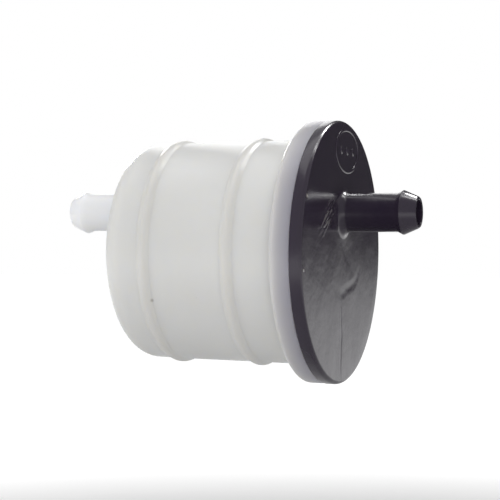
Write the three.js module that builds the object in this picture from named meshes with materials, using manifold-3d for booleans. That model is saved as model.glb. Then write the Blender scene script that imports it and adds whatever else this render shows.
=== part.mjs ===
// Sealed in-line fuel filter. Millimetres.
// A moulded cup of natural nylon and a black nylon cap are welded together at the cup's flange.
// Each carries a barbed spigot for a fuel hose, and both spigots lie above the body's axis, so
// that air leaves first. Inside, a star of pleated paper stands between two end plates, and
// fuel passes through it from the outside in, then leaves by the perforated centre tube.
//
// +X runs along the flow, from the inlet to the outlet, and +Z points to the side the spigots
// are on. The origin is the centre of the cap's outer face.
import * as THREE from "three";
import { mergeVertices } from "three/addons/utils/BufferGeometryUtils.js";
import Module from "manifold-3d";

const wasm = await Module();
wasm.setup();

// ---- driving dimensions -------------------------------------------------------------------

const gap = 0.3; // clearance between pieces that touch on the real filter
const overlap = 0.2; // how far joined shapes of one piece run into each other

// cup
const cupRadius = 23.3; // outside, where the wall meets the flange
const cupDraft = 0.009; // radius lost for each mm away from the flange
const cupWall = 1.8;
const cupEndWall = 2.0;
const cupDepth = 38.2; // from the flange's back face to the closed end, outside
const cupCornerRadius = 4.8;
const flangeWidth = 3.8; // from the wall to the flange's edge
const flangeThickness = 4.0;
const flangeEdgeFillet = 0.4;
const flangeRootFillet = 0.9;
const beadHeight = 0.75; // the two raised beads round the cup
const beadWidth = 5.2;
const beadPlaces = [11.0, 28.3]; // from the flange's back face to each bead's middle
const standoffCount = 6; // ribs on the closed end, under the inlet end plate
const standoffHeight = 2.2;
const standoffLength = 5.8;
const standoffWidth = 1.4;
const guideHeight = 7.5; // the same ribs turned up the wall, round the filter element

// cap
const capOverhang = 0.1; // radius, past the flange
const capThickness = 2.5;
const capEdgeFillet = 0.6;
const rimLength = 3.2; // rim that centres the cap in the cup's mouth
const rimWall = 1.4;
const seatWall = 1.5; // ring that takes the element's seal

// spigots, alike on both ends, for 8 mm fuel hose
const spigotOffset = 8.25; // above the body's axis
const spigotRadius = 4.0;
const spigotWall = 1.4;
const barbRise = 0.55; // radius of the crest, past the tube
const barbTipDrop = 0.8; // radius of the tip, below the tube
const barbLength = 3.2; // from the crest to the tip
const barbBack = 1.1; // short cone behind the crest
const outletLength = 16.0; // from the cap's outer face to the tip
const inletLength = 17.1; // from the closed end to the tip
const spigotRootFillet = 1.6;

// filter element
const elementClearance = 1.8; // for the fuel, between the element and the cup's wall
const plateThickness = 1.0;
const lipHeight = 2.4; // outer lip of an end plate, from its inner face
const lipWall = 0.8;
const collarClearance = 0.45; // between the outlet's bore and the collar, inside
const collarWall = 1.2;
const collarLength = 4.6;
const sealSection = 1.8; // diameter of the seal ring's cord
const pottingThickness = 1.3;
const pleatCount = 34;
const paperThickness = 0.5;
const foldGap = 0.14; // between the two layers at a fold
const tubeRadius = 8.2;
const tubeWall = 1.1;
const windowRows = 5;
const windowsRound = 6;
const windowLength = 3.6;
const windowWidth = 4.4;
const clipDepth = 3.2;
const clipThickness = 0.35;

const roundSegments = 48;
const ringSegments = 36;
const smallSegments = 20;

// ---- values that follow -------------------------------------------------------------------

const flangeRadius = cupRadius + flangeWidth;
const capRadius = flangeRadius + capOverhang;
const flangeFront = -(capThickness + gap);
const flangeBack = flangeFront - flangeThickness;
const cupEnd = flangeBack - cupDepth;
const cupFloor = cupEnd + cupEndWall;
const cupOuterAt = (x) => cupRadius - cupDraft * (flangeBack - x);
const cupInnerAt = (x) => cupOuterAt(x) - cupWall;

const boreRadius = spigotRadius - spigotWall;
const plateRadius = cupInnerAt(cupFloor) - elementClearance;
const collarRadius = spigotOffset + boreRadius + collarClearance + collarWall;
const sealRadius = collarRadius + gap + sealSection / 2;
const seatInner = sealRadius + sealSection / 2 + gap;
const tubeInner = tubeRadius - tubeWall;

const elementFront = -(capThickness + gap + collarLength); // outer face of the outlet plate
const elementBack = cupFloor + standoffHeight + gap; // outer face of the inlet plate
const pottingFront = elementFront - plateThickness - gap;
const pottingBack = elementBack + plateThickness + gap;
const paperFront = pottingFront - pottingThickness - gap;
const paperBack = pottingBack + pottingThickness + gap;

const foldWidth = paperThickness + foldGap; // flat across a fold, along the paper's middle
const paperOuter = plateRadius - lipWall - gap - paperThickness / 2;
const paperInner = tubeRadius + gap + paperThickness / 2;

// ---- solids -------------------------------------------------------------------------------

// A three.js geometry as a solid that can be joined and cut.
function solid(geometry) {
  const bare = geometry.index ? geometry.toNonIndexed() : geometry.clone();
  bare.deleteAttribute("normal");
  bare.deleteAttribute("uv");
  const merged = mergeVertices(bare, 1e-4);
  return new wasm.Manifold(
    new wasm.Mesh({
      numProp: 3,
      vertProperties: merged.attributes.position.array,
      triVerts: new Uint32Array(merged.index.array),
    }),
  );
}

// A joined and cut solid as a three.js geometry.
function geometryOf(made) {
  const { vertProperties, triVerts } = made.getMesh();
  const geometry = new THREE.BufferGeometry();
  geometry.setAttribute("position", new THREE.BufferAttribute(vertProperties, 3));
  geometry.setIndex(new THREE.BufferAttribute(triVerts, 1));
  geometry.computeVertexNormals();
  return geometry;
}

// A profile of [x, radius] points, turned about an axis along X at the given height.
// The points run so that the piece lies to their left, from high x back to low x outside.
function turned(points, { height = 0, segments = roundSegments, closed = false } = {}) {
  const profile = points.map(([x, radius]) => new THREE.Vector2(Math.max(radius, 0), x));
  if (closed) profile.push(profile[0].clone());
  const geometry = new THREE.LatheGeometry(profile, segments);
  geometry.rotateZ(-Math.PI / 2);
  geometry.translate(0, 0, height);
  const made = solid(geometry);
  if (made.volume() > 0) return made;
  return turned([...points].reverse(), { height, segments, closed });
}

// A round rod or bore between two places on X.
function rod(from, to, radius, options) {
  return turned([[from, 0], [from, radius], [to, radius], [to, 0]], options);
}

// A ring with a square section.
function ring(from, to, inner, outer, options = {}) {
  return turned([[from, inner], [from, outer], [to, outer], [to, inner]], {
    ...options,
    closed: true,
  });
}

// A flat-sided bar along a radius: from one radius to the next, at a place on X.
function radialBar({ from, to, inner, outer, width, angle }) {
  const bar = new THREE.BoxGeometry(to - from, width, outer - inner);
  bar.translate((from + to) / 2, 0, (inner + outer) / 2);
  bar.rotateX(angle);
  return solid(bar);
}

// Points of an arc about [x, radius], between two angles measured from +X.
function arc([x, radius], size, start, end, steps = 3) {
  return Array.from({ length: steps + 1 }, (_, i) => {
    const angle = start + ((end - start) * i) / steps;
    return [x + size * Math.cos(angle), radius + size * Math.sin(angle)];
  });
}

// Outline of a barbed spigot that stands out along +X from a face at x = 0.
function spigotProfile(length) {
  const root = spigotRootFillet;
  const crest = length - barbLength;
  return [
    [-overlap, 0],
    [-overlap, spigotRadius + root],
    ...arc([root, spigotRadius + root], root, Math.PI, 1.5 * Math.PI),
    [crest - barbBack, spigotRadius],
    [crest, spigotRadius + barbRise],
    [length, spigotRadius - barbTipDrop],
    [length, 0],
  ];
}

// What a spigot's bore takes away, run past the two places it opens at.
function spigotBore(from, to) {
  const options = { height: spigotOffset, segments: smallSegments };
  return rod(from - 2 * overlap, to + 2 * overlap, boreRadius, options);
}

// ---- pieces -------------------------------------------------------------------------------

// One raised bead on the cup, as profile points from its closed-end side to its flange side.
function beadProfile(place, steps = 5) {
  const middle = flangeBack - place;
  return Array.from({ length: steps + 1 }, (_, i) => {
    const x = middle + (i / steps - 0.5) * beadWidth;
    return [x, cupOuterAt(x) + beadHeight * Math.sin((Math.PI * i) / steps)];
  });
}

function makeCup() {
  const outerCorner = [cupEnd + cupCornerRadius, cupOuterAt(cupEnd) - cupCornerRadius];
  const innerRadius = cupCornerRadius - cupWall;
  const innerCorner = [cupFloor + innerRadius, cupInnerAt(cupFloor) - innerRadius];
  const root = flangeRootFillet;
  const edge = flangeEdgeFillet;
  let cup = turned([
    [cupEnd, 0],
    ...arc(outerCorner, cupCornerRadius, Math.PI, Math.PI / 2, 5),
    ...beadPlaces.toReversed().flatMap((place) => beadProfile(place)),
    ...arc([flangeBack - root, cupRadius + root], root, 1.5 * Math.PI, 2 * Math.PI),
    ...arc([flangeBack + edge, flangeRadius - edge], edge, Math.PI, Math.PI / 2, 1),
    ...arc([flangeFront - edge, flangeRadius - edge], edge, Math.PI / 2, 0, 1),
    [flangeFront, cupInnerAt(flangeFront)],
    ...arc(innerCorner, innerRadius, Math.PI / 2, Math.PI),
    [cupFloor, 0],
  ]);
  for (let i = 0; i < standoffCount; i++) {
    const angle = ((i + 0.5) * 2 * Math.PI) / standoffCount;
    const standoff = {
      from: cupFloor - overlap,
      to: cupFloor + standoffHeight,
      inner: plateRadius - standoffLength,
      outer: plateRadius + gap + overlap,
      width: standoffWidth,
      angle,
    };
    const guide = {
      ...standoff,
      to: cupFloor + guideHeight,
      inner: plateRadius + gap,
      outer: cupInnerAt(cupFloor) + overlap,
    };
    cup = cup.add(radialBar(standoff)).add(radialBar(guide));
  }
  const spigot = turned(spigotProfile(inletLength), { segments: smallSegments })
    .rotate([0, 180, 0])
    .translate([cupEnd, 0, spigotOffset]);
  return cup.add(spigot).subtract(spigotBore(cupEnd - inletLength, cupFloor));
}

function makeCap() {
  const inside = -capThickness;
  const edge = capEdgeFillet;
  const rimOuter = cupInnerAt(inside - rimLength) - gap;
  const disc = turned([
    [inside, 0],
    [inside, capRadius],
    ...arc([-edge, capRadius - edge], edge, Math.PI / 2, 0, 2),
    [0, 0],
  ]);
  const rim = ring(inside - rimLength, inside + overlap, rimOuter - rimWall, rimOuter);
  const seat = ring(elementFront + gap, inside + overlap, seatInner, seatInner + seatWall);
  const spigot = turned(spigotProfile(outletLength), { segments: smallSegments });
  return disc
    .add(rim)
    .add(seat)
    .add(spigot.translate([0, 0, spigotOffset]))
    .subtract(spigotBore(inside, outletLength));
}

// An end plate's disc, with an outer lip and a lip round the centre tube, both to hold potting.
// It starts at its outer face and runs the way that inward says, 1 for +X or -1 for -X.
function makePlate(face, inward, hole) {
  const inner = face + inward * plateThickness;
  const back = face + inward * (plateThickness - overlap);
  const lipEnd = inner + inward * lipHeight;
  const hubEnd = inner + inward * (gap + pottingThickness);
  const plate = hole > 0 ? ring(face, inner, hole, plateRadius) : rod(face, inner, plateRadius);
  return plate
    .add(ring(back, lipEnd, plateRadius - lipWall, plateRadius))
    .add(ring(back, hubEnd, tubeInner - lipWall, tubeInner));
}

function makeOutletPlate() {
  const collarEnd = elementFront + collarLength;
  const collar = ring(
    elementFront - overlap,
    collarEnd,
    collarRadius - collarWall,
    collarRadius,
  );
  return makePlate(elementFront, -1, tubeInner - lipWall).add(collar);
}

function makePotting(from, to) {
  return ring(from, to, tubeInner + gap, plateRadius - lipWall - gap);
}

function makeSeal() {
  const seal = new THREE.TorusGeometry(sealRadius, sealSection / 2, 8, ringSegments);
  seal.rotateY(Math.PI / 2);
  seal.translate(elementFront + gap + sealSection / 2, 0, 0);
  return solid(seal);
}

// Middle line of the pleated paper, seen along the axis: outer and inner folds in turn, each
// flat across, with the flanks between them.
function pleatLine() {
  const points = [];
  for (let i = 0; i < 2 * pleatCount; i++) {
    const radius = i % 2 === 0 ? paperOuter : paperInner;
    const angle = (i * Math.PI) / pleatCount;
    const [out, side] = [new THREE.Vector2(1, 0), new THREE.Vector2(0, foldWidth / 2)];
    out.multiplyScalar(radius);
    for (const sign of [-1, 1]) {
      const corner = out.clone().addScaledVector(side, sign);
      points.push(corner.rotateAround(new THREE.Vector2(), angle));
    }
  }
  return points;
}

// The closed line moved sideways by a distance, outwards when it is positive.
function offsetLine(points, distance) {
  const normalAfter = (i) => {
    const [a, b] = [points[i], points[(i + 1) % points.length]];
    return new THREE.Vector2(b.y - a.y, a.x - b.x).normalize();
  };
  return points.map((point, i) => {
    const before = normalAfter((i + points.length - 1) % points.length);
    const after = normalAfter(i);
    const mitre = before.clone().add(after);
    return point.clone().addScaledVector(mitre, distance / (1 + before.dot(after)));
  });
}

// A shape in the YZ plane, drawn out along X between two places.
function drawnAlongX(shape, from, to) {
  const drawn = new THREE.ExtrudeGeometry(shape, { depth: to - from, bevelEnabled: false });
  drawn.rotateY(Math.PI / 2);
  drawn.translate(from, 0, 0);
  return solid(drawn);
}

function makePaper() {
  const line = pleatLine();
  const star = new THREE.Shape(offsetLine(line, paperThickness / 2));
  star.holes.push(new THREE.Path(offsetLine(line, -paperThickness / 2)));
  return drawnAlongX(star, paperBack, paperFront);
}

// The strip that pinches the paper's two ends together, folded over one outer pleat. It ends
// short of the end plates' lips.
function makeClip() {
  const shortBy = plateThickness + lipHeight + gap;
  const half = (foldWidth + paperThickness) / 2 + gap;
  const outer = half + clipThickness;
  const crown = paperOuter + paperThickness / 2 + gap / 2;
  const foot = crown - clipDepth;
  const channel = new THREE.Shape([
    new THREE.Vector2(-foot, -outer),
    new THREE.Vector2(-crown - clipThickness, -outer),
    new THREE.Vector2(-crown - clipThickness, outer),
    new THREE.Vector2(-foot, outer),
    new THREE.Vector2(-foot, half),
    new THREE.Vector2(-crown, half),
    new THREE.Vector2(-crown, -half),
    new THREE.Vector2(-foot, -half),
  ]);
  return drawnAlongX(channel, elementBack + shortBy, elementFront - shortBy);
}

// The moulded tube that holds the pleats apart, with rows of windows for the fuel.
function makeCentreTube() {
  let tube = ring(paperBack, paperFront, tubeInner, tubeRadius, { segments: ringSegments });
  const pitch = (paperFront - paperBack) / windowRows;
  for (let row = 0; row < windowRows; row++) {
    const middle = paperBack + (row + 0.5) * pitch;
    for (let i = 0; i < windowsRound; i++) {
      const opening = radialBar({
        from: middle - windowLength / 2,
        to: middle + windowLength / 2,
        inner: tubeInner - 2 * tubeWall,
        outer: tubeRadius + tubeWall,
        width: windowWidth,
        angle: (i * 2 * Math.PI) / windowsRound,
      });
      tube = tube.subtract(opening);
    }
  }
  return tube;
}

// ---- the filter ---------------------------------------------------------------------------

const naturalNylon = { color: "#dcdcda", roughness: 0.45 };
const blackNylon = { color: "#2f2a30", roughness: 0.2 };
const plateNylon = { color: "#c9b98f", roughness: 0.5 };
const paper = { color: "#d9c48a", roughness: 0.9 };
const urethane = { color: "#a8603a", roughness: 0.6 };
const rubber = { color: "#1b1b1c", roughness: 0.7 };
const steel = { color: "#b4b6b8", roughness: 0.35, metalness: 1 };

const pieces = [
  ["cup_housing", makeCup(), naturalNylon],
  ["outlet_cap", makeCap(), blackNylon],
  ["element_seal_ring", makeSeal(), rubber],
  ["outlet_end_plate", makeOutletPlate(), plateNylon],
  ["outlet_potting", makePotting(pottingFront - pottingThickness, pottingFront), urethane],
  ["pleated_paper", makePaper(), paper],
  ["pleat_seam_clip", makeClip(), steel],
  ["centre_tube", makeCentreTube(), plateNylon],
  ["inlet_potting", makePotting(pottingBack, pottingBack + pottingThickness), urethane],
  ["inlet_end_plate", makePlate(elementBack, 1, 0), plateNylon],
];

const fuelFilter = new THREE.Group();
fuelFilter.name = "fuel_filter";
for (const [name, made, finish] of pieces) {
  const mesh = new THREE.Mesh(geometryOf(made), new THREE.MeshStandardMaterial(finish));
  mesh.name = name;
  fuelFilter.add(mesh);
}

export default fuelFilter;
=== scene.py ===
# A sealed in-line fuel filter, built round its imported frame. Lengths here are millimetres in
# the frame's axes, +X along the flow and +Z up, and meshes and places are made in metres.
import math
import random

import bmesh
import bpy
from mathutils import Matrix, Vector


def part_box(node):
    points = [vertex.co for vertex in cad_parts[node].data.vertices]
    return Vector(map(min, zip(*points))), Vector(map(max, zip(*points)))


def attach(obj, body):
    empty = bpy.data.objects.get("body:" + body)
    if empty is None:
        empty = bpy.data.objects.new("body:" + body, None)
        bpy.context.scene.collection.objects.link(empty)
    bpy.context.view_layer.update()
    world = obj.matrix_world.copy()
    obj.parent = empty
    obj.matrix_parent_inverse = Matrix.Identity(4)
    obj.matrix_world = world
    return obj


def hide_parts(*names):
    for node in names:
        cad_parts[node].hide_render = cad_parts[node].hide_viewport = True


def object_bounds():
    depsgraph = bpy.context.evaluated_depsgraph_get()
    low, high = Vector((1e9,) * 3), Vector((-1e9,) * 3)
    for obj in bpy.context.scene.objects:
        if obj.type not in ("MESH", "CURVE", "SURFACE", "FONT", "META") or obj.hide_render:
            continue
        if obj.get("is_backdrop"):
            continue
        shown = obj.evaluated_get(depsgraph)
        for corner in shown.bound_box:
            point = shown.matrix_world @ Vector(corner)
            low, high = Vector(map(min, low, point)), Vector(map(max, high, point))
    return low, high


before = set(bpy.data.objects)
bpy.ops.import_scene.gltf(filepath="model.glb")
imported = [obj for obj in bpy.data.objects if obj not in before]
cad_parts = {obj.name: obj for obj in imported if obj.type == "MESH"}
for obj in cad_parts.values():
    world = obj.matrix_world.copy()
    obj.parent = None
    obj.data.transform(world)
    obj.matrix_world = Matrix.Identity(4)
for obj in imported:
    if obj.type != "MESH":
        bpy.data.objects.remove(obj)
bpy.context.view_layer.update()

# ---- Cup housing ---------------------------------------------------------------------------
# Injection-moulded in natural nylon, which is milky and lets light into its wall. The inlet
# spigot, two stiffening beads and the flange are one moulding with it, and ribs inside hold
# the filter element off the closed end.

MM = 0.001
ROUND = 144  # faces round every turned piece

cup_low, cup_high = (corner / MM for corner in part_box("cup_housing"))
cap_low, cap_high = (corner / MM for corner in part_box("outlet_cap"))

cap_thickness = 2.5
weld_gap = 0.02  # what shows of the joint between flange and cap
gap = 0.3  # clearance between pieces that touch
spigot_height = 8.25
spigot_radius = 4.0
bore_radius = 2.6
barb_rise = 0.55
tip_drop = 0.8
barb_length = 3.2
barb_back = 1.1
root_fillet = 1.6

inlet_length = 17.1
cup_depth = 38.2
cup_end = cup_low.x + inlet_length
flange_back = cup_end + cup_depth
flange_front = -(cap_thickness + weld_gap)
flange_radius = cup_high.y
flange_width = 3.8
cup_radius = flange_radius - flange_width
cup_draft = 0.009
cup_wall = 1.8
floor_thickness = 2.0
cup_floor = cup_end + floor_thickness
corner_radius = 4.8
inside_corner = corner_radius - cup_wall
face_edge = cup_radius - corner_radius - 0.5  # radius where the flat of the closed end stops
flange_root = 1.6  # fillet between wall and flange
flange_corner = 1.1  # round on the flange's back corner
flange_break = 0.12  # on the flange's front corner
bead_places = (28.3, 10.3)  # from the flange's back to the middle of each bead
bead_half_width = 1.5
bead_rise = 0.7


def arc(centre_x, centre_radius, size, start, end, steps=8, height=0.0):
    """Rings of an arc in the profile, with angles in degrees from +X."""
    rings = []
    for i in range(steps + 1):
        angle = math.radians(start + (end - start) * i / steps)
        x = centre_x + size * math.cos(angle)
        rings.append((x, centre_radius + size * math.sin(angle), height))
    return rings


def face_between(x, from_radius, from_height, to_radius, to_height, steps=6):
    """Rings across a flat face between two circles that need not share a centre."""
    rings = []
    for i in range(1, steps):
        share = i / steps
        radius = from_radius + (to_radius - from_radius) * share
        rings.append((x, radius, from_height + (to_height - from_height) * share))
    return rings


def show(name, build):
    """Puts a bmesh into the scene as a piece of that name."""
    mesh = bpy.data.meshes.new(name)
    build.to_mesh(mesh)
    build.free()
    piece = bpy.data.objects.new(name, mesh)
    bpy.context.scene.collection.objects.link(piece)
    return piece


def skin(name, rings):
    """A closed skin through rings of (x, radius, height), each a circle round a line along X
    at that height. The last ring joins the first."""
    build = bmesh.new()
    loops = []
    for x, radius, height in rings:
        loop = []
        for i in range(ROUND if radius > 0 else 1):
            turn = 2 * math.pi * i / ROUND
            y, z = radius * math.sin(turn), height + radius * math.cos(turn)
            loop.append(build.verts.new(Vector((x, y, z)) * MM))
        loops.append(loop)
    for here, after in zip(loops, loops[1:] + loops[:1]):
        for k in range(ROUND if max(len(here), len(after)) > 1 else 0):
            corners = [here[k % len(here)], here[(k + 1) % len(here)]]
            corners += [after[(k + 1) % len(after)], after[k % len(after)]]
            build.faces.new(dict.fromkeys(corners))
    bmesh.ops.recalc_face_normals(build, faces=build.faces)
    return show(name, build)


def join_with(piece, *others, operation="UNION"):
    """Joins other closed meshes to the piece, or cuts them out of it, and removes them."""
    for other in others:
        change = piece.modifiers.new("joined", "BOOLEAN")
        change.object, change.operation, change.solver = other, operation, "EXACT"
        seen = bpy.context.evaluated_depsgraph_get()
        result = bpy.data.meshes.new_from_object(piece.evaluated_get(seen))
        piece.modifiers.clear()
        piece.data = result
        bpy.data.objects.remove(other)


def smooth(piece, angle=32):
    """Smooth shading, kept crisp at edges sharper than the angle."""
    build = bmesh.new()
    build.from_mesh(piece.data)
    bmesh.ops.remove_doubles(build, verts=build.verts, dist=1e-7)
    for face in build.faces:
        face.smooth = True
    for edge in build.edges:
        edge.smooth = len(edge.link_faces) == 2 and edge.calc_face_angle() < math.radians(angle)
    build.to_mesh(piece.data)
    build.free()
    piece.data.validate()


def spigot_rings(face, tip):
    """The outside of a barbed spigot, from its root on a flat face to the mouth of its bore."""
    way = 1 if tip > face else -1
    crest = tip - way * barb_length
    tip_radius = spigot_radius - tip_drop
    break_edge = 0.12
    rings = [
        (face + way * along, radius, spigot_height)
        for along, radius, _ in arc(root_fillet, spigot_radius + root_fillet, root_fillet, 180, 270)
    ]
    for along, radius in (
        (crest - way * barb_back, spigot_radius),
        (crest - way * break_edge, spigot_radius + barb_rise - 0.04),
        (crest, spigot_radius + barb_rise),
        (crest + way * break_edge, spigot_radius + barb_rise - 0.02),
        (tip - way * 2 * break_edge, tip_radius + 0.1),
        (tip - way * break_edge, tip_radius),
        (tip, tip_radius - break_edge),
        (tip, bore_radius + break_edge),
        (tip - way * break_edge, bore_radius),
    ):
        rings.append((along, radius, spigot_height))
    return rings


def cup_outer(x):
    return cup_radius - cup_draft * (flange_back - x)


def bead_rings(place):
    """A raised bead on the wall, with a crowned top that runs out softly on both sides."""
    steps = 16
    rings = []
    for i in range(steps + 1):
        along = -1 + 2 * i / steps
        x = flange_back - place + along * bead_half_width
        lift = bead_rise * (1 - along**2) ** 1.5
        rings.append((x, cup_outer(x) + lift, 0.0))
    return rings


cup_rings = (
    face_between(cup_end, spigot_radius + root_fillet, spigot_height, face_edge, 0.0)
    + [(cup_end, face_edge, 0.0)]
    + arc(cup_end + corner_radius, cup_outer(cup_end) - corner_radius, corner_radius, 180, 90, 14)
    + bead_rings(bead_places[0])
    + bead_rings(bead_places[1])
    + arc(flange_back - flange_root, cup_radius + flange_root, flange_root, 270, 360, 8)
    + arc(flange_back + flange_corner, flange_radius - flange_corner, flange_corner, 180, 90, 8)
    + arc(flange_front - flange_break, flange_radius - flange_break, flange_break, 90, 0, 2)
    + [(flange_front, cup_outer(flange_front) - cup_wall, 0.0)]
    + arc(
        cup_floor + inside_corner,
        cup_outer(cup_floor) - cup_wall - inside_corner,
        inside_corner,
        90,
        180,
    )
    + face_between(cup_floor, face_edge, 0.0, bore_radius, spigot_height)
    + [(cup_floor, bore_radius, spigot_height)]
    + spigot_rings(cup_end, cup_low.x)[::-1]
)
cup = skin("cup_shell", cup_rings)


def bar(x, y, z, turn=0.0, broken=0.0):
    """A bar between two limits on each axis, turned about the X axis, its long edges broken."""
    build = bmesh.new()
    bmesh.ops.create_cube(build, size=1)
    size = Matrix.Diagonal((x[1] - x[0], y[1] - y[0], z[1] - z[0], 1 / MM)) * MM
    build.transform(Matrix.Translation(Vector((sum(x), sum(y), sum(z))) * MM / 2) @ size)
    if broken:
        along_z = [e for e in build.edges if abs(e.verts[0].co.z - e.verts[1].co.z) > MM / 2]
        bmesh.ops.bevel(build, geom=along_z, offset=broken * MM, segments=3, affect="EDGES")
    build.transform(Matrix.Rotation(turn, 4, "X"))
    return show("bar", build)


plate_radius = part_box("inlet_end_plate")[1].y / MM
ribs = 6
rib_width = 1.4
rib_root = cup_outer(cup_floor) - cup_wall + 0.4  # a little way into the wall
standoff_height = 2.2  # the ribs' low part, which the end plate rests on
standoff_reach = 5.8  # how far the low part runs in under the plate
guide_height = 7.5  # the high part, which centres the plate
rib_lap = 0.2  # of a rib into the floor, and of its two parts into each other
for i in range(ribs):
    turn = (i + 0.5) * 2 * math.pi / ribs
    width = (-rib_width / 2, rib_width / 2)
    low_part = (cup_floor - rib_lap, cup_floor + standoff_height)
    high_part = (cup_floor + standoff_height - rib_lap, cup_floor + guide_height)
    standoff = bar(low_part, width, (plate_radius - standoff_reach, rib_root), turn)
    guide = bar(high_part, width, (plate_radius + gap, rib_root), turn)
    join_with(cup, standoff, guide)
smooth(cup)


def linear(colour):
    """An sRGB hex colour as linear RGBA."""
    values = [int(colour[i : i + 2], 16) / 255 for i in (1, 3, 5)]
    return [v / 12.92 if v <= 0.04045 else ((v + 0.055) / 1.055) ** 2.4 for v in values] + [1.0]


def material(name, **shader_inputs):
    """A new material, with the values that are the same all over set on its shader."""
    made = bpy.data.materials.new(name)
    made.use_nodes = True
    shader = made.node_tree.nodes["Principled BSDF"]
    for socket, value in shader_inputs.items():
        shader.inputs[socket.replace("_", " ")].default_value = value
    return made


def add_node(made, kind, inputs, into=None, **settings):
    """Adds a node with its settings, sets or links its inputs, and gives its first output. A
    name in into links that output to the shader as well."""
    node = made.node_tree.nodes.new(kind)
    for key, value in settings.items():
        setattr(node, key, value)
    for socket, value in inputs.items():
        if isinstance(value, bpy.types.NodeSocket):
            made.node_tree.links.new(value, node.inputs[socket])
        else:
            node.inputs[socket].default_value = value
    first = next(output for output in node.outputs if output.enabled)
    if into:
        shader = made.node_tree.nodes["Principled BSDF"]
        made.node_tree.links.new(first, shader.inputs[into])
    return first


def finish(piece, made, node):
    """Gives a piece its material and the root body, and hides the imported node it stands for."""
    piece.data.materials.clear()
    piece.data.materials.append(made)
    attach(piece, "root")
    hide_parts(node)


def chain(made, operation, *terms):
    """Adds or multiplies all the terms."""
    total = terms[0]
    for term in terms[1:]:
        total = add_node(made, "ShaderNodeMath", {0: total, 1: term}, operation=operation)
    return total


def hump(made, value, middle, half_width):
    """1 where the value is at the middle, falling softly to 0 at half_width each side."""
    off = add_node(made, "ShaderNodeMath", {0: value, 1: middle * MM}, operation="SUBTRACT")
    size = add_node(made, "ShaderNodeMath", {0: off}, operation="ABSOLUTE")
    return add_node(
        made,
        "ShaderNodeMapRange",
        {"Value": size, "From Min": 0.0, "From Max": half_width * MM, "To Min": 1.0, "To Max": 0.0},
        interpolation_type="SMOOTHSTEP",
    )


def spot(made, place, point, radius):
    """1 at a point, falling softly to 0 at the radius."""
    ends = {0: place, 1: Vector(point) * MM}
    away = add_node(made, "ShaderNodeVectorMath", ends, operation="DISTANCE")
    return hump(made, away.node.outputs["Value"], 0.0, radius)


# Natural nylon 6 out of a polished tool: milky and satin, a little cloudy from one place to the
# next. The beads are painted a shade darker, painted shade over their thick wall. The black cap
# drinks the light out of the flange that touches it, and this is painted in as a lilac-grey
# painted shade towards the weld. The inlet spigot is painted near white, painted light for the
# light that comes through its thin wall.
natural_nylon = material(
    "natural_nylon_moulded",
    IOR=1.53,
    Subsurface_Weight=1.0,
    Subsurface_Radius=(1.05, 1.0, 0.85),
    Subsurface_Scale=3.4 * MM,
    Subsurface_Anisotropy=0.3,
)
place = add_node(natural_nylon, "ShaderNodeTexCoord", {}).node.outputs["Object"]
cloud = add_node(
    natural_nylon, "ShaderNodeTexNoise", {"Vector": place, "Scale": 1 / (14 * MM), "Detail": 3.0}
)
cloudy = add_node(
    natural_nylon,
    "ShaderNodeMix",
    {"Factor": cloud, "A": linear("#dfdedb"), "B": linear("#e4e4e1")},
    data_type="RGBA",
)
along = add_node(natural_nylon, "ShaderNodeSeparateXYZ", {"Vector": place})
# Painted shade: the base colour darkens over each bead, to hold back the light its thick wall
# gathers.
painted_bead_shade = chain(
    natural_nylon,
    "ADD",
    hump(natural_nylon, along, flange_back - bead_places[0], bead_half_width + 0.2),
    hump(natural_nylon, along, flange_back - bead_places[1], bead_half_width + 0.2),
)
shaded = add_node(
    natural_nylon,
    "ShaderNodeMix",
    {"Factor": painted_bead_shade, "A": cloudy, "B": linear("#d5d4d1")},
    data_type="RGBA",
)
dirt = spot(natural_nylon, place, (-33.8, -20.8, -9.9), 0.6)
marked = add_node(
    natural_nylon,
    "ShaderNodeMix",
    {"Factor": dirt, "A": shaded, "B": linear("#aeaba6")},
    data_type="RGBA",
)
# Painted shade: the flange greys to lilac towards the cap, for the light the black cap takes out of
# it.
painted_flange_shade = add_node(
    natural_nylon,
    "ShaderNodeMapRange",
    {"Value": along, "From Min": -10.0 * MM, "From Max": -2.0 * MM},
    interpolation_type="SMOOTHSTEP",
)
with_flange_shade = add_node(
    natural_nylon,
    "ShaderNodeMix",
    {"Factor": painted_flange_shade, "A": marked, "B": linear("#a3a1aa")},
    data_type="RGBA",
)
# Painted light: the inlet spigot is painted near white, for the light that comes through its thin
# wall.
painted_spigot_light = add_node(
    natural_nylon,
    "ShaderNodeMapRange",
    {"Value": along, "From Min": (cup_end - 2) * MM, "From Max": (cup_end + 1) * MM},
    interpolation_type="SMOOTHSTEP",
)
add_node(
    natural_nylon,
    "ShaderNodeMix",
    {"Factor": painted_spigot_light, "A": linear("#fefefe"), "B": with_flange_shade},
    into="Base Color",
    data_type="RGBA",
)
add_node(
    natural_nylon,
    "ShaderNodeMapRange",
    {"Value": cloud, "To Min": 0.25, "To Max": 0.36},
    into="Roughness",
)
grain = add_node(
    natural_nylon, "ShaderNodeTexNoise", {"Vector": place, "Scale": 1 / (0.9 * MM), "Detail": 4.0}
)
add_node(
    natural_nylon,
    "ShaderNodeBump",
    {"Height": grain, "Strength": 0.12, "Distance": 0.03 * MM},
    into="Normal",
)
finish(cup, natural_nylon, "cup_housing")

# ---- Inlet end plate -----------------------------------------------------------------------
# A disc moulded in tan glass-filled nylon that shuts the element's inlet end. Its outer lip
# and the short hub make a trough for the potting, and it rests on the cup's ribs.

tube_radius = 8.2
tube_wall = 1.1
tube_inner = tube_radius - tube_wall
plate_thickness = 1.0
plate_lip = 0.8
lip_height = 2.4
hub_height = 1.6
edge_break = 0.2  # on the plates' moulded corners


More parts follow.
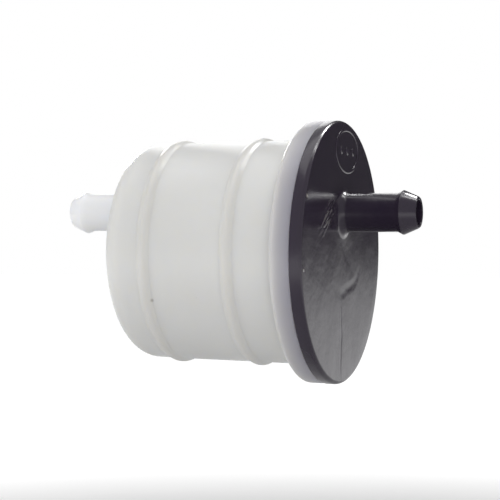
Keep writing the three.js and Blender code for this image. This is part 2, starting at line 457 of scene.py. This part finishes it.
def plate_rings(face, way, hole):
    """Half of an end plate's profile, from its hub over the trough and lip to its outer face.
    It starts at the outer face and runs to the side that way says."""
    inner = face + way * plate_thickness
    lip_top = inner + way * lip_height
    hub_top = inner + way * hub_height
    rim = plate_radius - plate_lip
    if hole:
        middle = [(face, hole), (hub_top - way * edge_break, hole), (hub_top, hole + edge_break)]
    else:
        hub_inner = tube_inner - plate_lip
        middle = [(face, 0.0), (inner, 0.0), (inner, hub_inner), (hub_top, hub_inner)]
    profile = middle + [
        (hub_top, tube_inner - edge_break),
        (hub_top - way * edge_break, tube_inner),
        (inner + way * edge_break, tube_inner),
        (inner, tube_inner + edge_break),
        (inner, rim - edge_break),
        (inner + way * edge_break, rim),
        (lip_top - way * edge_break, rim),
        (lip_top, rim + edge_break),
        (lip_top, plate_radius - edge_break),
        (lip_top - way * edge_break, plate_radius),
        (face + way * 2 * edge_break, plate_radius),
        (face, plate_radius - 2 * edge_break),
    ]
    return [(*point, 0.0) for point in profile]


inlet_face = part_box("inlet_end_plate")[0].x / MM
inlet_plate = skin("inlet_plate", plate_rings(inlet_face, 1, 0.0))
smooth(inlet_plate)

# Glass-filled nylon: satin, with short pale fibres that lie just under the skin.
filled_nylon = material("glass_filled_nylon_moulded", IOR=1.53)
place = add_node(filled_nylon, "ShaderNodeTexCoord", {}).node.outputs["Object"]
long_way = add_node(filled_nylon, "ShaderNodeMapping", {"Vector": place, "Scale": (0.25, 1, 1)})
fibres = add_node(
    filled_nylon, "ShaderNodeTexNoise", {"Vector": long_way, "Scale": 1 / (0.35 * MM), "Detail": 2.0}
)
add_node(
    filled_nylon,
    "ShaderNodeMix",
    {"Factor": fibres, "A": linear("#bda878"), "B": linear("#d6c79f")},
    into="Base Color",
    data_type="RGBA",
)
add_node(
    filled_nylon,
    "ShaderNodeMapRange",
    {"Value": fibres, "To Min": 0.38, "To Max": 0.55},
    into="Roughness",
)
add_node(
    filled_nylon,
    "ShaderNodeBump",
    {"Height": fibres, "Strength": 0.2, "Distance": 0.04 * MM},
    into="Normal",
)
finish(inlet_plate, filled_nylon, "inlet_end_plate")

# ---- Potting -------------------------------------------------------------------------------
# Brown polyurethane poured into each plate's trough. It sets round the ends of the paper and
# the centre tube, and creeps a little way up what it wets.

creep = 0.35  # how high the resin climbs a wall
creep_width = 0.7
resin_play = 0.05
resin_steps = 16


def potting_rings(face, way, depth):
    """A ring of set resin with a flat back in the plate, and a surface that rises at both
    walls. Depth is the resin's thickness at its middle."""
    inner, outer = tube_inner + resin_play, plate_radius - plate_lip - resin_play
    surface = []
    for i in range(resin_steps + 1):
        share = i / resin_steps
        radius = inner + (outer - inner) * share
        at_walls = [math.exp(-off / creep_width) for off in (radius - inner, outer - radius)]
        rise = creep * sum(at_walls)
        surface.append((face + way * (depth + rise), radius, 0.0))
    return [(face, outer, 0.0), (face, inner, 0.0)] + surface


# Cast polyurethane: a satin brown skin, with small bubbles that rose while it was liquid.
polyurethane = material(
    "polyurethane_cast", IOR=1.5, Subsurface_Weight=0.15, Subsurface_Scale=0.6 * MM
)
place = add_node(polyurethane, "ShaderNodeTexCoord", {}).node.outputs["Object"]
bubbles = add_node(
    polyurethane,
    "ShaderNodeTexVoronoi",
    {"Vector": place, "Scale": 1 / (1.6 * MM)},
    feature="F1",
)
dome = add_node(
    polyurethane,
    "ShaderNodeMapRange",
    {"Value": bubbles, "From Min": 0.12, "From Max": 0.2, "To Min": 1.0, "To Max": 0.0},
    interpolation_type="SMOOTHSTEP",
)
swirl = add_node(
    polyurethane, "ShaderNodeTexNoise", {"Vector": place, "Scale": 1 / (3 * MM), "Detail": 3.0}
)
add_node(
    polyurethane,
    "ShaderNodeMix",
    {"Factor": swirl, "A": linear("#97522f"), "B": linear("#b56c44")},
    into="Base Color",
    data_type="RGBA",
)
add_node(
    polyurethane,
    "ShaderNodeMapRange",
    {"Value": swirl, "To Min": 0.28, "To Max": 0.42},
    into="Roughness",
)
add_node(
    polyurethane,
    "ShaderNodeBump",
    {"Height": dome, "Strength": 0.6, "Distance": 0.15 * MM},
    into="Normal",
)

for node, way in (("inlet_potting", 1), ("outlet_potting", -1)):
    low, high = (corner.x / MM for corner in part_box(node))
    back = low if way > 0 else high
    resin = skin(node.replace("potting", "resin"), potting_rings(back, way, high - low - creep))
    smooth(resin)
    finish(resin, polyurethane, node)

# ---- Centre tube ---------------------------------------------------------------------------
# A cage moulded in the same tan nylon as the plates. It keeps the pleats from closing up under
# flow, and the clean fuel runs out through its five rows of windows.

window_rows = 5
windows_round = 6
window_length = 3.6
window_width = 4.4
window_corner = 0.6
tube_edge = 0.15  # break on the tube's edges

tube_low, tube_high = (corner.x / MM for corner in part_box("centre_tube"))
cage = skin(
    "centre_cage",
    [
        (tube_low, tube_inner + tube_edge, 0.0),
        (tube_low + tube_edge, tube_inner, 0.0),
        (tube_high - tube_edge, tube_inner, 0.0),
        (tube_high, tube_inner + tube_edge, 0.0),
        (tube_high, tube_radius - tube_edge, 0.0),
        (tube_high - tube_edge, tube_radius, 0.0),
        (tube_low + tube_edge, tube_radius, 0.0),
        (tube_low, tube_radius - tube_edge, 0.0),
    ],
)
pitch = (tube_high - tube_low) / window_rows
for row in range(window_rows):
    middle = tube_low + (row + 0.5) * pitch
    along = (middle - window_length / 2, middle + window_length / 2)
    across = (-window_width / 2, window_width / 2)
    for i in range(windows_round):
        turn = i * 2 * math.pi / windows_round
        through = (tube_inner - 2 * tube_wall, tube_radius + tube_wall)
        window = bar(along, across, through, turn, broken=window_corner)
        join_with(cage, window, operation="DIFFERENCE")
smooth(cage)
finish(cage, filled_nylon, "centre_tube")

# ---- Pleated paper -------------------------------------------------------------------------
# Resin-treated cellulose paper, scored, folded into a star of 34 pleats and set in the potting
# at both ends. No two pleats bow quite alike.

pleats = 34
paper_thickness = 0.5
fold_gap = 0.14
fold_radius = (paper_thickness + fold_gap) / 2  # of the paper's middle line, round a fold
fold_steps = 6
stations = 14  # rings of points along the pleats
bow = 0.22  # how far a flank wanders sideways at mid-length
sag = 0.3  # how far a crest may sink there
wick = 1.4  # how far the potting has soaked in from each end

paper_low, paper_high = (corner.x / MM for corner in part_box("pleated_paper"))
paper_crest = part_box("pleated_paper")[1].z / MM - paper_thickness / 2
paper_root = tube_radius + gap + paper_thickness / 2

random.seed(34)
pleat_bows = [random.uniform(-bow, bow) for _ in range(pleats)]
pleat_drops = [random.uniform(0.0, sag) for _ in range(pleats)]


def paper_outline(side, station):
    """Points (y, z) of one face of the paper at a station from 0 to 1 along it. Side is +1 for
    the face outside each crest and -1 for the one inside it."""
    points = []
    belly = math.sin(math.pi * station)
    for i in range(2 * pleats):
        crest = i % 2 == 0
        facing = math.pi * i / pleats
        middle = (
            paper_crest - fold_radius - pleat_drops[i // 2] * belly
            if crest
            else paper_root + fold_radius
        )
        size = fold_radius + side * (1 if crest else -1) * paper_thickness / 2
        lean = pleat_bows[i // 2] * belly if crest else 0.0
        for k in range(fold_steps + 1):
            swing = math.pi * (k / fold_steps - 0.5)
            out = middle + (1 if crest else -1) * size * math.cos(swing)
            across = size * math.sin(swing) + lean
            y = out * math.sin(facing) + across * math.cos(facing)
            z = out * math.cos(facing) - across * math.sin(facing)
            points.append((y, z))
    return points


build = bmesh.new()
faces_of_paper = []
for side in (1, -1):
    sheet = []
    for s in range(stations + 1):
        x = paper_low + (paper_high - paper_low) * s / stations
        ring = paper_outline(side, s / stations)
        sheet.append([build.verts.new(Vector((x, y, z)) * MM) for y, z in ring])
    faces_of_paper.append(sheet)
outer, inner = faces_of_paper
count = len(outer[0])
for k in range(count):
    after = (k + 1) % count
    for sheet in (outer, inner):
        for low_ring, high_ring in zip(sheet, sheet[1:]):
            build.faces.new((low_ring[k], low_ring[after], high_ring[after], high_ring[k]))
    for end in (0, -1):
        build.faces.new((outer[end][k], outer[end][after], inner[end][after], inner[end][k]))
bmesh.ops.recalc_face_normals(build, faces=build.faces)
paper = show("paper_star", build)
smooth(paper, 50)

# Filter paper, dipped and cured: matt, felted, with fine score lines across the pleats. The
# resin has wicked a little way in from the potting and darkens both ends.
filter_paper = material("filter_paper_resin_cured", IOR=1.5)
place = add_node(filter_paper, "ShaderNodeTexCoord", {}).node.outputs["Object"]
felt = add_node(
    filter_paper, "ShaderNodeTexNoise", {"Vector": place, "Scale": 1 / (0.4 * MM), "Detail": 6.0}
)
felted = add_node(
    filter_paper,
    "ShaderNodeMix",
    {"Factor": felt, "A": linear("#cdb676"), "B": linear("#e3d2a0")},
    data_type="RGBA",
)
along = add_node(filter_paper, "ShaderNodeSeparateXYZ", {"Vector": place})
middle_of_paper = (paper_low + paper_high) / 2 * MM
half_of_paper = (paper_high - paper_low) / 2 * MM
from_middle = add_node(
    filter_paper, "ShaderNodeMath", {0: along, 1: middle_of_paper}, operation="SUBTRACT"
)
to_end = add_node(filter_paper, "ShaderNodeMath", {0: from_middle}, operation="ABSOLUTE")
wicked = add_node(
    filter_paper,
    "ShaderNodeMapRange",
    {"Value": to_end, "From Min": half_of_paper - wick * MM, "From Max": half_of_paper},
    interpolation_type="SMOOTHSTEP",
)
add_node(
    filter_paper,
    "ShaderNodeMix",
    {"Factor": wicked, "A": felted, "B": linear("#a9824f")},
    into="Base Color",
    data_type="RGBA",
)
add_node(
    filter_paper,
    "ShaderNodeMapRange",
    {"Value": felt, "To Min": 0.78, "To Max": 0.95},
    into="Roughness",
)
scoring = add_node(
    filter_paper,
    "ShaderNodeTexWave",
    {"Vector": place, "Scale": 1 / (20 * 1.6 * MM), "Distortion": 0.4},
    bands_direction="X",
)
relief = add_node(filter_paper, "ShaderNodeMath", {0: felt, 1: scoring}, operation="ADD")
add_node(
    filter_paper,
    "ShaderNodeBump",
    {"Height": relief, "Strength": 0.5, "Distance": 0.06 * MM},
    into="Normal",
)
finish(paper, filter_paper, "pleated_paper")

# ---- Pleat seam clip -----------------------------------------------------------------------
# A strip of tinned steel folded over the pleat where the paper's two ends meet, and crimped
# along its length so that it bites.

clip_thickness = 0.35
clip_bend = 0.6  # outside radius of the two bends
crimps = 6
crimp_depth = 0.16

clip_low, clip_high = (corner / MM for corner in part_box("pleat_seam_clip"))
clip_half = clip_high.y
clip_foot, clip_top = clip_low.z, clip_high.z


def clip_outline(inset, pinch):
    """Half of the strip's section, from the middle of its top round the bend and down the side
    to the foot, moved in by inset from the outside. Pinch draws the side in."""
    bend = clip_bend - inset
    side = clip_half - inset - pinch
    points = [(0.0, clip_top - inset), (side - bend, clip_top - inset)]
    for k in range(1, 6):
        swing = math.pi / 2 * k / 6
        y = side - bend + bend * math.sin(swing)
        points.append((y, clip_top - inset - bend + bend * math.cos(swing)))
    drop = clip_top - inset - bend - clip_foot
    points += [(side, clip_foot + drop * k / 4) for k in (4, 3, 2, 1)]
    points.append((side, clip_foot))
    return points


build = bmesh.new()
clip_rings = []
clip_stations = 96
for s in range(clip_stations + 1):
    share = s / clip_stations
    x = clip_low.x + (clip_high.x - clip_low.x) * share
    squeeze = max(0.0, math.sin(2 * math.pi * crimps * share - math.pi / 2)) ** 2
    pinch = crimp_depth * squeeze
    half = clip_outline(0.0, pinch)
    inside = clip_outline(clip_thickness, pinch)
    ring = half + inside[::-1]
    ring += [(-y, z) for y, z in inside[1:]] + [(-y, z) for y, z in half[::-1][:-1]]
    clip_rings.append([build.verts.new(Vector((x, y, z)) * MM) for y, z in ring])
for here, after in zip(clip_rings, clip_rings[1:]):
    for k in range(len(here)):
        n = (k + 1) % len(here)
        build.faces.new((here[k], here[n], after[n], after[k]))
build.faces.new(clip_rings[0])
build.faces.new(clip_rings[-1])
bmesh.ops.recalc_face_normals(build, faces=build.faces)
clip = show("seam_clip", build)
smooth(clip)

# Tinned steel strip, rolled: fine lines run along it, and the tin is a little uneven.
tinned_steel = material("tinned_steel_rolled", Metallic=1.0)
place = add_node(tinned_steel, "ShaderNodeTexCoord", {}).node.outputs["Object"]
rolled = add_node(tinned_steel, "ShaderNodeMapping", {"Vector": place, "Scale": (0.04, 1, 1)})
lines = add_node(
    tinned_steel, "ShaderNodeTexNoise", {"Vector": rolled, "Scale": 1 / (0.25 * MM), "Detail": 3.0}
)
add_node(
    tinned_steel,
    "ShaderNodeMix",
    {"Factor": lines, "A": linear("#a3a5a6"), "B": linear("#c6c8c9")},
    into="Base Color",
    data_type="RGBA",
)
add_node(
    tinned_steel,
    "ShaderNodeMapRange",
    {"Value": lines, "To Min": 0.22, "To Max": 0.42},
    into="Roughness",
)
add_node(
    tinned_steel,
    "ShaderNodeBump",
    {"Height": lines, "Strength": 0.15, "Distance": 0.02 * MM},
    into="Normal",
)
finish(clip, tinned_steel, "pleat_seam_clip")

# ---- Outlet end plate ----------------------------------------------------------------------
# The plate for the other end, in the same tan nylon. It is open in the middle, and a collar
# on its face reaches into the cap's seat.

collar_clearance = 0.45  # between the outlet's bore and the collar, inside
collar_wall = 1.2
collar_root = 0.4  # fillet between plate and collar
collar_lead = 0.35  # bevel that opens the seal ring
collar_edge = 0.15

outlet_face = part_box("outlet_potting")[1].x / MM + gap + plate_thickness
collar_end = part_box("outlet_end_plate")[1].x / MM
collar_radius = spigot_height + bore_radius + collar_clearance + collar_wall
hole = tube_inner - plate_lip
outlet_plate = skin(
    "outlet_plate",
    plate_rings(outlet_face, -1, hole)
    + [
        (outlet_face, collar_radius + collar_root, 0.0),
        (outlet_face + 0.3 * collar_root, collar_radius + 0.3 * collar_root, 0.0),
        (outlet_face + collar_root, collar_radius, 0.0),
        (collar_end - collar_lead, collar_radius, 0.0),
        (collar_end, collar_radius - collar_lead, 0.0),
        (collar_end, collar_radius - collar_wall + collar_edge, 0.0),
        (collar_end - collar_edge, collar_radius - collar_wall, 0.0),
        (outlet_face, collar_radius - collar_wall, 0.0),
    ],
)
smooth(outlet_plate)
finish(outlet_plate, filled_nylon, "outlet_end_plate")

# ---- Element seal ring ---------------------------------------------------------------------
# A nitrile ring between the collar and the cap's seat, which keeps unfiltered fuel out of the
# outlet. It is squeezed flat where it bears, and a thin flash line is left from its mould.

seal_low, seal_high = (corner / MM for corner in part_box("element_seal_ring"))
seal_section = (seal_high.x - seal_low.x) / 2
seal_middle = (seal_low.x + seal_high.x) / 2
seal_radius = seal_high.y - seal_section
seal_flat = 0.12
seal_steps = 40  # points round the section
flash = 0.05

seal_rings = []
for k in range(seal_steps):
    turn = 2 * math.pi * k / seal_steps
    proud = flash if k in (0, seal_steps // 2) else 0.0
    x = seal_middle + (seal_section + proud) * math.cos(turn)
    out = seal_section * math.sin(turn)
    out = max(-seal_section + seal_flat, min(seal_section - seal_flat, out))
    seal_rings.append((x, seal_radius + out, 0.0))
seal = skin("seal_ring", seal_rings)
smooth(seal, 50)

# Nitrile rubber: matt black-grey, with a faint bloom.
nitrile = material("nitrile_rubber_moulded", IOR=1.52)
place = add_node(nitrile, "ShaderNodeTexCoord", {}).node.outputs["Object"]
bloom = add_node(
    nitrile, "ShaderNodeTexNoise", {"Vector": place, "Scale": 1 / (1.2 * MM), "Detail": 5.0}
)
add_node(
    nitrile,
    "ShaderNodeMix",
    {"Factor": bloom, "A": linear("#161617"), "B": linear("#2b2b2c")},
    into="Base Color",
    data_type="RGBA",
)
add_node(
    nitrile, "ShaderNodeMapRange", {"Value": bloom, "To Min": 0.5, "To Max": 0.72}, into="Roughness"
)
add_node(
    nitrile,
    "ShaderNodeBump",
    {"Height": bloom, "Strength": 0.2, "Distance": 0.02 * MM},
    into="Normal",
)
finish(seal, nitrile, "element_seal_ring")

# ---- Outlet cap ----------------------------------------------------------------------------
# Injection-moulded in black nylon from a polished tool, so its face mirrors what stands round
# it. It carries the outlet spigot, it is welded to the cup's flange, and a plain oval ring with
# three pips is raised on its face.

cap_radius = cap_high.y
cap_edge = 0.9
cap_flat = cap_radius - cap_edge
cap_ring = cap_flat - 2.5  # radius of a ring of points that keeps the face's edge flat
cap_break = 0.15  # on the back corner
cap_back = -cap_thickness
rim_depth = 3.2
rim_end = cap_back - rim_depth
rim_outer = cup_outer(rim_end) - cup_wall - gap
rim_wall = 1.4
rim_inner = rim_outer - rim_wall
seat_inner = seal_high.y + gap
seat_wall = 1.5
seat_outer = seat_inner + seat_wall
lead_in = 0.3  # bevel on the rim's and the seat's edges

cap_rings = (
    spigot_rings(0.0, cap_high.x)[::-1][1:]
    + face_between(0.0, spigot_radius + root_fillet, spigot_height, cap_ring, 0.0)
    + [(0.0, cap_ring, 0.0)]
    + arc(-cap_edge, cap_flat, cap_edge, 0, 90, 10)
    + arc(cap_back + cap_break, cap_radius - cap_break, cap_break, 90, 180, 3)
    + [
        (cap_back, rim_outer, 0.0),
        (rim_end + lead_in, rim_outer, 0.0),
        (rim_end, rim_outer - lead_in, 0.0),
        (rim_end, rim_inner, 0.0),
        (cap_back, rim_inner, 0.0),
        (cap_back, seat_outer, 0.0),
        (cap_low.x, seat_outer, 0.0),
        (cap_low.x, seat_inner + lead_in, 0.0),
        (cap_low.x + lead_in, seat_inner, 0.0),
        (cap_back, seat_inner, 0.0),
    ]
    + face_between(cap_back, seat_inner, 0.0, bore_radius, spigot_height)
    + [(cap_back, bore_radius, spigot_height)]
    + [(cap_high.x - 0.12, bore_radius, spigot_height)]
)
cap = skin("cap_shell", cap_rings)

mark_y, mark_z = 1.9, 21.0
mark_width, mark_height = 15.2, 8.7
mark_line = 0.55
mark_rise = 0.16
mark_round = 96  # faces round the ring and the pips
sunk = -0.2  # foot of the ring and the pips, below the cap's face
pip_size = 0.8
pip_step = 3.9


def raised(outlines):
    """The sides of a form raised on the cap's face, through ovals given as (x, half width, half
    height, middle)."""
    build = bmesh.new()
    loops = []
    for x, half_width, half_height, middle in outlines:
        loop = []
        for i in range(mark_round):
            turn = 2 * math.pi * i / mark_round
            y = middle + half_width * math.sin(turn)
            z = mark_z + half_height * math.cos(turn)
            loop.append(build.verts.new(Vector((x, y, z)) * MM))
        loops.append(loop)
    for here, after in zip(loops, loops[1:]):
        for k in range(mark_round):
            n = (k + 1) % mark_round
            build.faces.new((here[k], here[n], after[n], after[k]))
    return build, loops


def oval_ring():
    """The raised oval line, with a rounded top, sunk a little into the face it stands on."""
    outlines = []
    for x, off in ((sunk, 1.0), (0.05, 1.0), (0.13, 0.6), (mark_rise, 0.0)):
        half = off * mark_line / 2
        outlines.append((x, mark_width / 2 + half, mark_height / 2 + half, mark_y))
    for x, off in ((0.13, 0.6), (0.05, 1.0), (sunk, 1.0)):
        half = off * mark_line / 2
        outlines.append((x, mark_width / 2 - half, mark_height / 2 - half, mark_y))
    build, loops = raised(outlines)
    for k in range(mark_round):
        n = (k + 1) % mark_round
        build.faces.new((loops[-1][k], loops[-1][n], loops[0][n], loops[0][k]))
    bmesh.ops.recalc_face_normals(build, faces=build.faces)
    return show("oval_ring", build)


def pip(middle):
    """A low round pip."""
    outlines = [
        (x, pip_size * share, pip_size * share, middle)
        for x, share in ((sunk, 1.0), (0.06, 1.0), (0.16, 0.85), (0.22, 0.5), (0.23, 0.2))
    ]
    build, loops = raised(outlines)
    build.faces.new(loops[0])
    build.faces.new(loops[-1])
    bmesh.ops.recalc_face_normals(build, faces=build.faces)
    return show("pip", build)


join_with(cap, oval_ring())
for step in (-1, 0, 1):
    join_with(cap, pip(mark_y + pip_step * step))
smooth(cap)

# Black nylon out of a polished tool: deep and glossy, not quite flat. Below the spigot the melt
# met again behind its core, which left a faint line down the face, and a flow ring stands round
# the core. Handling has left fine scuffs beside the spigot, and two specks of dust.
black_nylon = material("black_nylon_moulded", IOR=1.53)
place = add_node(black_nylon, "ShaderNodeTexCoord", {}).node.outputs["Object"]
cloud = add_node(
    black_nylon, "ShaderNodeTexNoise", {"Vector": place, "Scale": 1 / (7 * MM), "Detail": 3.0}
)
mottle = add_node(
    black_nylon, "ShaderNodeTexNoise", {"Vector": place, "Scale": 1 / (0.8 * MM), "Detail": 3.0}
)
parts = add_node(black_nylon, "ShaderNodeSeparateXYZ", {"Vector": place}).node.outputs

on_face = hump(black_nylon, parts["X"], 0.0, 0.5)
wander = add_node(
    black_nylon,
    "ShaderNodeMapRange",
    {"Value": cloud, "To Min": -1.2 * MM, "To Max": 1.2 * MM},
)
wandering_y = chain(black_nylon, "ADD", parts["Y"], wander)
weld = chain(
    black_nylon,
    "MULTIPLY",
    on_face,
    hump(black_nylon, wandering_y, -1.2, 0.9),
    hump(black_nylon, parts["Z"], -19.0, 12.0),
)
core = Vector((0.0, 0.0, spigot_height)) * MM
from_core = add_node(
    black_nylon, "ShaderNodeVectorMath", {0: place, 1: core}, operation="DISTANCE"
).node.outputs["Value"]
flow_ring = chain(
    black_nylon,
    "MULTIPLY",
    on_face,
    hump(black_nylon, chain(black_nylon, "ADD", from_core, wander), 16.5, 1.8),
    hump(black_nylon, parts["Y"], 4.0, 11.0),
    hump(black_nylon, parts["Z"], -7.0, 9.0),
)
drawn_out = 8.0
turned_place = add_node(
    black_nylon,
    "ShaderNodeMapping",
    {"Vector": place, "Rotation": (math.radians(29), 0, 0), "Scale": (1, drawn_out, 1)},
    vector_type="TEXTURE",
)
turned_parts = add_node(black_nylon, "ShaderNodeSeparateXYZ", {"Vector": turned_place}).node.outputs
scuffs = add_node(
    black_nylon,
    "ShaderNodeTexNoise",
    {"Vector": turned_place, "Scale": 1 / (0.55 * MM), "Detail": 2.0},
)
scuffed = add_node(
    black_nylon,
    "ShaderNodeMapRange",
    {"Value": scuffs, "From Min": 0.5, "From Max": 0.62},
)
scuff_patch = chain(
    black_nylon,
    "MULTIPLY",
    on_face,
    scuffed,
    hump(black_nylon, turned_parts["Y"], -5.5 / drawn_out, 9.0 / drawn_out),
    hump(black_nylon, turned_parts["Z"], 11.5, 3.2),
)
dust = chain(
    black_nylon,
    "ADD",
    spot(black_nylon, place, (0.0, -23.6, 10.9), 0.7),
    spot(black_nylon, place, (0.0, -25.4, -3.3), 0.5),
)
deep = add_node(
    black_nylon,
    "ShaderNodeMix",
    {"Factor": cloud, "A": linear("#272030"), "B": linear("#2f2734")},
    data_type="RGBA",
)
pale = chain(black_nylon, "ADD", dust, chain(black_nylon, "MULTIPLY", scuff_patch, 0.35))
add_node(
    black_nylon,
    "ShaderNodeMix",
    {"Factor": pale, "A": deep, "B": linear("#a8a4a0")},
    into="Base Color",
    data_type="RGBA",
)
polish = add_node(
    black_nylon, "ShaderNodeMapRange", {"Value": cloud, "To Min": 0.15, "To Max": 0.27}
)
worn = chain(black_nylon, "ADD", weld, scuff_patch)
dulled = chain(black_nylon, "MULTIPLY", worn, 0.2)
add_node(
    black_nylon, "ShaderNodeMath", {0: polish, 1: dulled}, into="Roughness", operation="ADD"
)
waves = add_node(
    black_nylon,
    "ShaderNodeBump",
    {"Height": cloud, "Strength": 1.0, "Distance": 0.12 * MM},
)
marks = chain(
    black_nylon,
    "ADD",
    chain(black_nylon, "MULTIPLY", mottle, 0.08),
    chain(black_nylon, "MULTIPLY", weld, -0.35),
    chain(black_nylon, "MULTIPLY", flow_ring, -0.6),
    scuff_patch,
    dust,
)
add_node(
    black_nylon,
    "ShaderNodeBump",
    {"Height": marks, "Strength": 1.0, "Distance": 0.1 * MM, "Normal": waves},
    into="Normal",
)
finish(cap, black_nylon, "outlet_cap")

# ---- Studio --------------------------------------------------------------------------------
# A white table under a white sky, soft lights overhead, in front and to the left, and lights that
# show only as reflections. The table glows beyond the filter, painted light that grows with
# distance from it. A graded board beyond the table is what the cap's polished face mirrors.

table_height = -90.0  # the filter hangs between its hoses, clear of the table

build = bmesh.new()
bmesh.ops.create_circle(build, cap_ends=True, segments=96, radius=4.0)
table = show("table", build)
table.location.z = table_height * MM
table_paint = material("matt_white_board_painted_glow", Roughness=0.9, Emission_Strength=1.0)
place = add_node(table_paint, "ShaderNodeTexCoord", {}).node.outputs["Object"]
mottle = add_node(table_paint, "ShaderNodeTexNoise", {"Vector": place, "Scale": 30.0})
add_node(
    table_paint,
    "ShaderNodeMix",
    {"Factor": mottle, "A": linear("#d2d2d2"), "B": linear("#d6d6d6")},
    into="Base Color",
    data_type="RGBA",
)
reach = add_node(table_paint, "ShaderNodeVectorMath", {0: place}, operation="LENGTH")
reach = reach.node.outputs["Value"]
# Painted light: the table glows, from nothing near the filter to bright beyond it.
add_node(
    table_paint,
    "ShaderNodeMapRange",
    {"Value": reach, "From Min": 0.14, "From Max": 0.36, "To Min": 0.0, "To Max": 0.75},
    into="Emission Color",
    interpolation_type="SMOOTHSTEP",
)
table.data.materials.append(table_paint)
table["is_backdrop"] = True

sky = bpy.data.worlds.new("sky")
bpy.context.scene.world = sky
sky.use_nodes = True
seen_sky = sky.node_tree.nodes["Background"]
seen_sky.inputs["Color"].default_value = linear("#ffffff")
seen_sky.inputs["Strength"].default_value = 1.0
lit_sky = sky.node_tree.nodes.new("ShaderNodeBackground")
lit_sky.inputs["Color"].default_value = linear("#ffffff")
lit_sky.inputs["Strength"].default_value = 0.45
by_ray = sky.node_tree.nodes.new("ShaderNodeMixShader")
ray = sky.node_tree.nodes.new("ShaderNodeLightPath")
sky.node_tree.links.new(ray.outputs["Is Camera Ray"], by_ray.inputs[0])
sky.node_tree.links.new(lit_sky.outputs[0], by_ray.inputs[1])
sky.node_tree.links.new(seen_sky.outputs[0], by_ray.inputs[2])
sky.node_tree.links.new(by_ray.outputs[0], sky.node_tree.nodes["World Output"].inputs[0])

board_away = 1000.0  # from the cap's face
board_turn = 17.0  # degrees from +Y towards +X
board_size = (1500.0, 900.0)
board_fade = (-57.0, 2.0)  # heights between which it goes from white to dark

build = bmesh.new()
bmesh.ops.create_grid(build, x_segments=1, y_segments=1, size=0.5)
board = show("graded_board", build)
board.scale = Vector((*board_size, 1 / MM)) * MM
way = Vector((math.sin(math.radians(board_turn)), math.cos(math.radians(board_turn)), 0.0))
board.rotation_euler = (math.pi / 2, 0, -math.radians(board_turn))
board.location = (way * board_away + Vector((0, 0, table_height + board_size[1] / 2))) * MM
board.visible_camera = False
board.visible_diffuse = False
board_paint = material(
    "graded_card", Base_Color=linear("#0a0a0a"), Roughness=0.95, Emission_Strength=1.0
)
place = add_node(board_paint, "ShaderNodeNewGeometry", {}).node.outputs["Position"]
height = add_node(board_paint, "ShaderNodeSeparateXYZ", {"Vector": place}).node.outputs["Z"]
add_node(
    board_paint,
    "ShaderNodeMapRange",
    {
        "Value": height,
        "From Min": board_fade[0] * MM,
        "From Max": board_fade[1] * MM,
        "To Min": 0.88,
        "To Max": 0.04,
    },
    into="Emission Color",
    interpolation_type="SMOOTHSTEP",
)
board.data.materials.append(board_paint)
board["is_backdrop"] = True


def lamp(name, place, aim, size, power, lights=True, mirrored=True):
    """A soft light: a glowing rectangle at a place, turned to its aim. Power is in watts. It
    lights what is round it, shows in what is polished, or both."""
    light = bpy.data.lights.new(name, "AREA")
    light.shape, light.size, light.size_y = "RECTANGLE", size[0] * MM, size[1] * MM
    light.energy = power
    shown = bpy.data.objects.new(name, light)
    shown.location = Vector(place) * MM
    way = Vector(aim) - Vector(place)
    shown.rotation_euler = way.to_track_quat("-Z", "Y").to_euler()
    shown.visible_camera = False
    shown.visible_diffuse, shown.visible_transmission = lights, lights
    shown.visible_glossy = mirrored
    bpy.context.scene.collection.objects.link(shown)


lamp("overhead_softbox", (-60, 40, 520), (-20, 0, 0), (500, 400), 0.75)
lamp("front_panel", (180, -600, 240), (-20, 0, 0), (900, 700), 1.5, mirrored=False)
lamp("left_panel", (-680, -380, 60), (-20, 0, 0), (500, 600), 1.2, mirrored=False)
lamp("back_panel", (-310, 600, 210), (-30, 0, 0), (300, 500), 0.8, lights=False)
lamp("root_sparkle", (110, 300, 380), (0, 0, 0), (120, 120), 1.5, lights=False)
lamp("cap_edge_sparkle", (190, 110, 400), (0, 0, 10), (60, 300), 0.5, lights=False)
lamp("bead_sparkle", (-400, 480, 190), (-30, 0, 0), (50, 50), 0.35, lights=False)

camera_azimuth = 20.98
camera_elevation = 0.17
camera_roll = 0.47
camera_distance = 295.4
aim = Vector((-18.1, -6.8, 0.35))

lens = bpy.data.cameras.new("camera")
lens.lens = 102.84
lens.sensor_width = 36
camera = bpy.data.objects.new("camera", lens)
azimuth, elevation = math.radians(camera_azimuth), math.radians(camera_elevation)
level = Vector((math.sin(azimuth), -math.cos(azimuth), 0.0))
back = level * math.cos(elevation) + Vector((0, 0, math.sin(elevation)))
camera.location = (aim + back * camera_distance) * MM
turned = (-back).to_track_quat("-Z", "Y").to_matrix().to_4x4()
camera.rotation_euler = (turned @ Matrix.Rotation(math.radians(camera_roll), 4, "Z")).to_euler()
bpy.context.scene.collection.objects.link(camera)
bpy.context.scene.camera = camera
bpy.context.scene.view_settings.view_transform = "Standard"

low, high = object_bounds()
